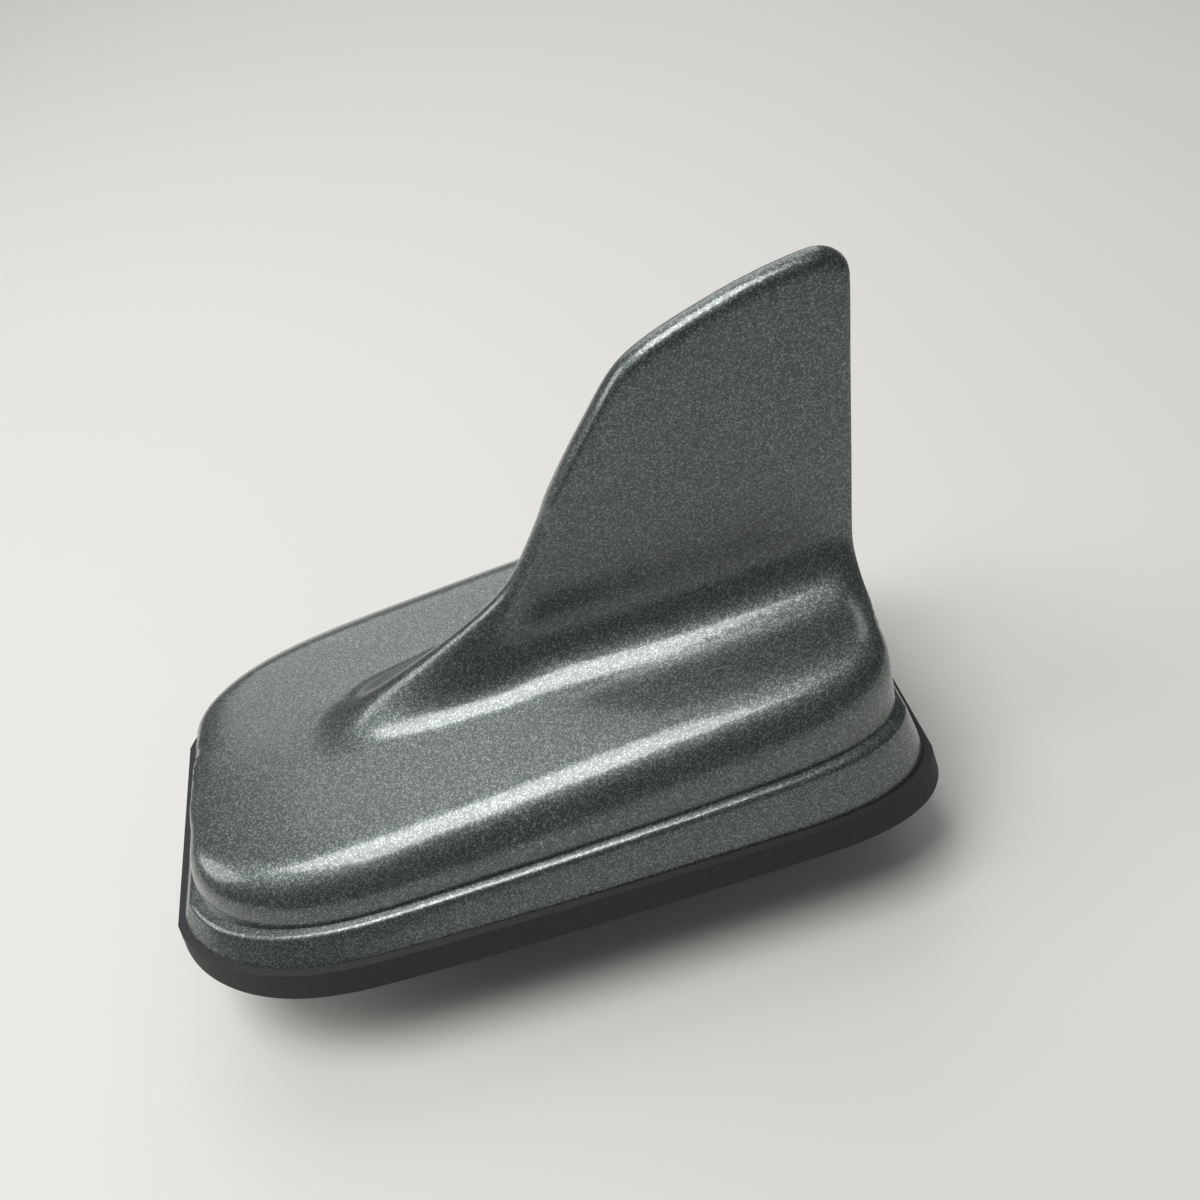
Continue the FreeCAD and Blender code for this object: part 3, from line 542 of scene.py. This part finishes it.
@dataclass
class Cover:
    """The painted fin cover, its fine ripples polished out from the groove to the middle of the fin.

    The polish evens out what lies within polish_mm and fades out at its lowest and highest level. Points on
    the fin's edges are held from fin_edge_mm up. A patch of the skin counts less the further off it lies and
    the more it is turned away. middle_mm and length_share place the point that the outer skin faces away from.
    """

    node: str = "fin_cover"
    paint: FlakePaint = field(default_factory=FlakePaint)
    polish_mm: float = 1.2
    polish_passes: int = 2
    polish_low_mm: float = 11.5
    polish_high_mm: float = 44.0
    polish_fade_mm: float = 3.0
    fin_edge_mm: float = 27.0
    middle_mm: float = 8.0
    length_share: float = 0.3
    patch_share: float = 0.5
    search_reaches: float = 2.5
    alike_power: int = 4
    below_reaches: float = 3.0
    turn_steps: float = 2.0

    def build(self, frame: Dict[str, Any]) -> bpy.types.Object:
        """Make the smooth painted skin in place of the frame's node.

        Args:
            frame: The loaded frame.

        Returns:
            The finished piece.
        """
        skin = smooth_copy(frame["nodes"][self.node], "painted_fin_cover")
        self.polish(skin.data)
        dress(skin, self.paint.material())
        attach(skin, "root")
        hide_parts(self.node)
        return skin

    def polish(self, mesh: bpy.types.Mesh) -> None:
        """Polish the outer skin and mark its creases again.

        Args:
            mesh: The cover's mesh.
        """
        work = bmesh.new()
        work.from_mesh(mesh)
        for _ in range(self.polish_passes):
            work.normal_update()
            self.polish_once(work)
        work.normal_update()
        mark_creases(work)
        work.to_mesh(mesh)
        work.free()

    def polish_once(self, work: bmesh.types.BMesh) -> None:
        """Move each point of the skin to the mean plane of the patches near it that face the same way.

        Args:
            work: The cover's mesh, with its normals up to date.
        """
        reach = self.polish_mm * MM
        places, normals, areas = self.patches(work, self.patch_share * reach)
        tree = kdtree.KDTree(len(places))
        for index, place in enumerate(places):
            tree.insert(place, index)
        tree.balance()
        moves = []
        for vert in work.verts:
            share = self.polish_share(vert)
            if share <= 0.0:
                continue
            total = 0.0
            centre = Vector()
            facing = Vector()
            for place, index, distance in tree.find_range(vert.co, self.search_reaches * reach):
                alike = normals[index].dot(vert.normal)
                if alike <= 0.0:
                    continue
                near = math.exp(-0.5 * (distance / reach) ** 2)
                weight = areas[index] * alike ** self.alike_power * near
                total += weight
                centre += weight * place
                facing += weight * normals[index]
            if total > 0.0:
                facing.normalize()
                moves.append((vert, share * facing.dot(vert.co - centre / total) * facing))
        for vert, move in moves:
            vert.co -= move

    def polish_share(self, vert: bmesh.types.BMVert) -> float:
        """Say how far a point is polished: not in the hollow, and on the fin's edges only near their foot.

        Args:
            vert: The point.

        Returns:
            A share from 0 to 1.
        """
        height = vert.co.z / MM
        out = Vector((self.length_share * vert.co.x, vert.co.y, vert.co.z - self.middle_mm * MM))
        if vert.normal.dot(out) <= 0.0:
            return 0.0
        creased = not all(edge.smooth for edge in vert.link_edges)
        top = self.fin_edge_mm if creased else self.polish_high_mm
        above = (height - self.polish_low_mm) / self.polish_fade_mm
        below = (top - height) / self.polish_fade_mm
        return max(0.0, min(1.0, above, below))

    def patches(
        self,
        work: bmesh.types.BMesh,
        cell: float,
    ) -> Tuple[List[Vector], List[Vector], List[float]]:
        """Gather the faces into small patches by place and direction.

        Args:
            work: The cover's mesh.
            cell: Side of a patch in metres.

        Returns:
            Middle, direction and area of each patch.
        """
        sums: Dict[Tuple[int, ...], List[Any]] = {}
        lowest = (self.polish_low_mm - self.below_reaches * self.polish_mm) * MM
        for face in work.faces:
            middle = face.calc_center_median()
            area = face.calc_area()
            if middle.z < lowest or area <= 0.0:
                continue
            turn = tuple(round(self.turn_steps * c) for c in face.normal)
            key = tuple(math.floor(c / cell) for c in middle) + turn
            entry = sums.setdefault(key, [Vector(), Vector(), 0.0])
            entry[0] += area * middle
            entry[1] += area * face.normal
            entry[2] += area
        places = [entry[0] / entry[2] for entry in sums.values()]
        normals = [entry[1].normalized() for entry in sums.values()]
        areas = [entry[2] for entry in sums.values()]
        return places, normals, areas


@dataclass
class Seal:
    """The rubber band under the cover."""

    node: str = "base_seal"

    def build(self, frame: Dict[str, Any]) -> bpy.types.Object:
        """Make the smooth rubber band in place of the frame's node.

        Args:
            frame: The loaded frame.

        Returns:
            The finished piece.
        """
        band = smooth_copy(frame["nodes"][self.node], "rubber_base_seal")
        dress(band, SEAL_RUBBER.material())
        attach(band, "root")
        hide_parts(self.node)
        return band


@dataclass
class Stud:
    """The zinc-plated stud with its rolled thread; the frame's plain shank is the thread's major size."""

    node: str = "mounting_stud"
    pitch_mm: float = 1.25
    major_mm: float = 4.0
    minor_mm: float = 3.32
    collar_low_mm: float = -3.0
    tip_share: float = 0.8
    run_out_pitches: float = 0.6
    steps_per_turn: int = 40
    core_sides: int = 64
    ridge_corners: int = 4

    def build(self, frame: Dict[str, Any]) -> bpy.types.Object:
        """Make the stud: head and collar from the frame, a thinner core and a helical thread round it.

        Args:
            frame: The loaded frame.

        Returns:
            The finished piece.
        """
        low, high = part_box(self.node)
        stud = smooth_copy(frame["nodes"][self.node], "threaded_stud")
        self.keep_above(stud, self.collar_low_mm * MM)
        self.add_core(stud, low[2])
        thread = self.thread(low[2])
        work = bmesh.new()
        work.from_mesh(stud.data)
        work.from_mesh(thread.data)
        work.to_mesh(stud.data)
        work.free()
        bpy.data.objects.remove(thread)
        dress(stud, ZINC_STEEL.material())
        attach(stud, "root")
        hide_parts(self.node)
        return stud

    def keep_above(self, stud: bpy.types.Object, level: float) -> None:
        """Cut away the plain shank below a level.

        Args:
            stud: The copy of the frame's stud.
            level: Height of the cut in metres.
        """
        work = bmesh.new()
        work.from_mesh(stud.data)
        everything = work.verts[:] + work.edges[:] + work.faces[:]
        cut = bmesh.ops.bisect_plane(
            work,
            geom=everything,
            plane_co=(0.0, 0.0, level),
            plane_no=(0.0, 0.0, -1.0),
            clear_outer=True,
        )
        rim = [item for item in cut["geom_cut"] if isinstance(item, bmesh.types.BMEdge)]
        bmesh.ops.contextual_create(work, geom=rim)
        work.to_mesh(stud.data)
        work.free()

    def add_core(self, stud: bpy.types.Object, low: float) -> None:
        """Add the thread's core with its chamfered end.

        Args:
            stud: The piece that gets the core.
            low: Height of the stud's end in metres.
        """
        radius = self.minor_mm * MM
        tip = self.tip_share * radius
        profile = [(tip, low), (radius, low + radius - tip), (radius, self.collar_low_mm * MM)]
        work = bmesh.new()
        work.from_mesh(stud.data)
        rings = []
        for r, z in profile:
            ring = []
            for i in range(self.core_sides):
                angle = 2.0 * math.pi * i / self.core_sides
                ring.append(work.verts.new((r * math.cos(angle), r * math.sin(angle), z)))
            rings.append(ring)
        for below, above in zip(rings, rings[1:]):
            for i in range(self.core_sides):
                j = (i + 1) % self.core_sides
                side = work.faces.new((below[i], below[j], above[j], above[i]))
                side.smooth = True
        work.faces.new(rings[0][::-1])
        work.faces.new(rings[-1])
        work.to_mesh(stud.data)
        work.free()

    def thread(self, low: float) -> bpy.types.Object:
        """Make the helical ridge with a node tree and turn it into a plain mesh.

        Args:
            low: Height of the stud's end in metres.

        Returns:
            The ridge, at the origin.
        """
        depth = (self.major_mm - self.minor_mm) * MM
        start = low + self.run_out_pitches * self.pitch_mm * MM
        length = self.collar_low_mm * MM - self.run_out_pitches * self.pitch_mm * MM - start
        sizes = {
            "Radius": self.minor_mm * MM,
            "Height": length,
            "Turns": length / (self.pitch_mm * MM),
            "Ridge": depth,
            "Low": start,
        }
        holder = bpy.data.objects.new("thread_ridge", bpy.data.meshes.new("thread_ridge"))
        bpy.context.scene.collection.objects.link(holder)
        tree = self.thread_tree()
        modifier = holder.modifiers.new("thread", "NODES")
        modifier.node_group = tree
        for item in tree.interface.items_tree:
            if item.item_type == "SOCKET" and item.in_out == "INPUT":
                modifier[item.identifier] = sizes[item.name]
        bpy.context.view_layer.update()
        seen = holder.evaluated_get(bpy.context.evaluated_depsgraph_get())
        mesh = bpy.data.meshes.new_from_object(seen)
        holder.modifiers.remove(modifier)
        holder.data = mesh
        return holder

    def thread_tree(self) -> bpy.types.NodeTree:
        """Build the node tree of the ridge: a helix swept with a pointed profile.

        Returns:
            The tree, with its sizes as named inputs.
        """
        tree = bpy.data.node_groups.new("thread_ridge", "GeometryNodeTree")
        tree.interface.new_socket("Geometry", in_out="OUTPUT", socket_type="NodeSocketGeometry")
        for name in ("Radius", "Height", "Turns", "Ridge", "Low"):
            tree.interface.new_socket(name, in_out="INPUT", socket_type="NodeSocketFloat")
        sizes = add_node(tree, "NodeGroupInput")
        helix = add_node(
            tree,
            "GeometryNodeCurveSpiral",
            None,
            {"Resolution": self.steps_per_turn},
            {
                "Rotations": sizes.outputs["Turns"],
                "Start Radius": sizes.outputs["Radius"],
                "End Radius": sizes.outputs["Radius"],
                "Height": sizes.outputs["Height"],
            },
        )
        profile = add_node(
            tree,
            "GeometryNodeCurvePrimitiveCircle",
            None,
            {"Resolution": self.ridge_corners},
            {"Radius": sizes.outputs["Ridge"]},
        )
        swept = add_node(
            tree,
            "GeometryNodeCurveToMesh",
            None,
            {"Fill Caps": True},
            {"Curve": helix.outputs[0], "Profile Curve": profile.outputs[0]},
        )
        lift = add_node(tree, "ShaderNodeCombineXYZ", None, None, {"Z": sizes.outputs["Low"]})
        placed = add_node(
            tree,
            "GeometryNodeTransform",
            None,
            None,
            {"Geometry": swept.outputs[0], "Translation": lift.outputs[0]},
        )
        real = add_node(tree, "GeometryNodeRealizeInstances", None, None, {"Geometry": placed.outputs[0]})
        coloured = add_node(
            tree,
            "GeometryNodeSetMaterial",
            None,
            {"Material": ZINC_STEEL.material()},
            {"Geometry": real.outputs[0]},
        )
        add_node(tree, "NodeGroupOutput", None, None, {0: coloured.outputs[0]})
        return tree


@dataclass
class Hardware:
    """Everything else: the cast base, fasteners, boards and sockets, shown as the frame has them."""

    finishes: Dict[str, Finish] = field(default_factory=lambda: dict(PLAIN_FINISHES))

    def build(self, frame: Dict[str, Any]) -> List[str]:
        """Give each remaining node its finish.

        Args:
            frame: The loaded frame.

        Returns:
            The dressed nodes' names.
        """
        for name, finish in self.finishes.items():
            dress(frame["nodes"][name], finish.material())
        return list(self.finishes)


@dataclass(frozen=True)
class Lamp:
    """One square area light: its place and side in metres and its power in watts."""

    name: str
    place: Tuple[float, float, float]
    side: float
    power: float


@dataclass
class Studio:
    """Pale floor, soft lights and the photograph's camera."""

    floor_z_mm: float = -15.05
    floor_half_m: float = 1.6
    floor_colour: str = "#D8D6D2"
    floor_roughness: float = 0.6
    sky_colour: str = "#B8BCBC"
    sky_strength: float = 0.35
    lamps: Tuple[Lamp, ...] = (
        Lamp("overhead", (-0.18, -0.06, 0.66), 0.38, 3.5),
        Lamp("back_wall", (0.0, 0.85, 0.75), 1.1, 5.2),
        Lamp("front_window", (-0.65, 0.10, 0.42), 0.35, 1.4),
    )
    aim_m: Tuple[float, float, float] = (0.0, 0.0, 0.02)
    camera_mm: Tuple[float, float, float] = (9.3, -121.4, 132.5)
    yaw_deg: float = 2.85
    pitch_deg: float = 41.39
    roll_deg: float = 13.89
    focal_px: float = 1193.5
    image_px: float = 1200.0
    sensor_mm: float = 36.0
    clip_start_m: float = 0.005

    def build(self) -> None:
        """Add the floor, the lights, the sky and the camera."""
        self.add_floor()
        self.add_lights()
        self.add_camera()

    def add_floor(self) -> None:
        """Add the plain pale floor."""
        mesh = bpy.data.meshes.new("floor")
        half = self.floor_half_m
        z = self.floor_z_mm * MM
        corners = [(-half, -half, z), (half, -half, z), (half, half, z), (-half, half, z)]
        mesh.from_pydata(corners, [], [(0, 1, 2, 3)])
        floor = bpy.data.objects.new("floor", mesh)
        bpy.context.scene.collection.objects.link(floor)
        finish = Finish("pale_floor", self.floor_colour, self.floor_roughness, pattern=Pattern.NONE)
        dress(floor, finish.material())

    def add_lights(self) -> None:
        """Add the even sky and the area lights."""
        world = bpy.data.worlds.new("soft_sky")
        world.use_nodes = True
        sky = world.node_tree.nodes["Background"]
        sky.inputs[0].default_value = linear(self.sky_colour)
        sky.inputs[1].default_value = self.sky_strength
        bpy.context.scene.world = world
        for lamp in self.lamps:
            self.add_area(lamp)

    def add_area(self, lamp: Lamp) -> None:
        """Add one area light that faces the object.

        Args:
            lamp: Its name, place, side and power.
        """
        light = bpy.data.lights.new(lamp.name, "AREA")
        light.shape = "SQUARE"
        light.size = lamp.side
        light.energy = lamp.power
        obj = bpy.data.objects.new(lamp.name, light)
        obj.location = lamp.place
        obj.rotation_euler = (Vector(self.aim_m) - Vector(lamp.place)).to_track_quat("-Z", "Y").to_euler()
        bpy.context.scene.collection.objects.link(obj)

    def add_camera(self) -> None:
        """Add the camera at the photograph's viewing angle."""
        yaw = math.radians(self.yaw_deg)
        pitch = math.radians(self.pitch_deg)
        roll = math.radians(self.roll_deg)
        ahead = Vector((math.sin(yaw) * math.cos(pitch), math.cos(yaw) * math.cos(pitch), -math.sin(pitch)))
        level = Vector((math.cos(yaw), -math.sin(yaw), 0.0))
        down = ahead.cross(level)
        right = math.cos(roll) * level + math.sin(roll) * down
        low = -math.sin(roll) * level + math.cos(roll) * down
        lens = bpy.data.cameras.new("camera")
        lens.sensor_fit = "HORIZONTAL"
        lens.sensor_width = self.sensor_mm
        lens.lens = self.sensor_mm * self.focal_px / self.image_px
        lens.clip_start = self.clip_start_m
        camera = bpy.data.objects.new("camera", lens)
        turn = Matrix((right, -low, -ahead)).transposed()
        camera.matrix_world = Matrix.Translation(Vector(self.camera_mm) * MM) @ turn.to_4x4()
        bpy.context.scene.collection.objects.link(camera)
        bpy.context.scene.camera = camera


def main() -> None:
    """Build every piece on the frame, then the studio."""
    logging.basicConfig(level=logging.INFO)
    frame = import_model()
    LOG.info("cover: %s", Cover().build(frame).name)
    LOG.info("seal: %s", Seal().build(frame).name)
    LOG.info("stud: %s", Stud().build(frame).name)
    LOG.info("hardware: %s", ", ".join(Hardware().build(frame)))
    Studio().build()
    bpy.context.scene.view_settings.view_transform = "Standard"
    bpy.context.view_layer.update()


if __name__ == "__main__":
    main()
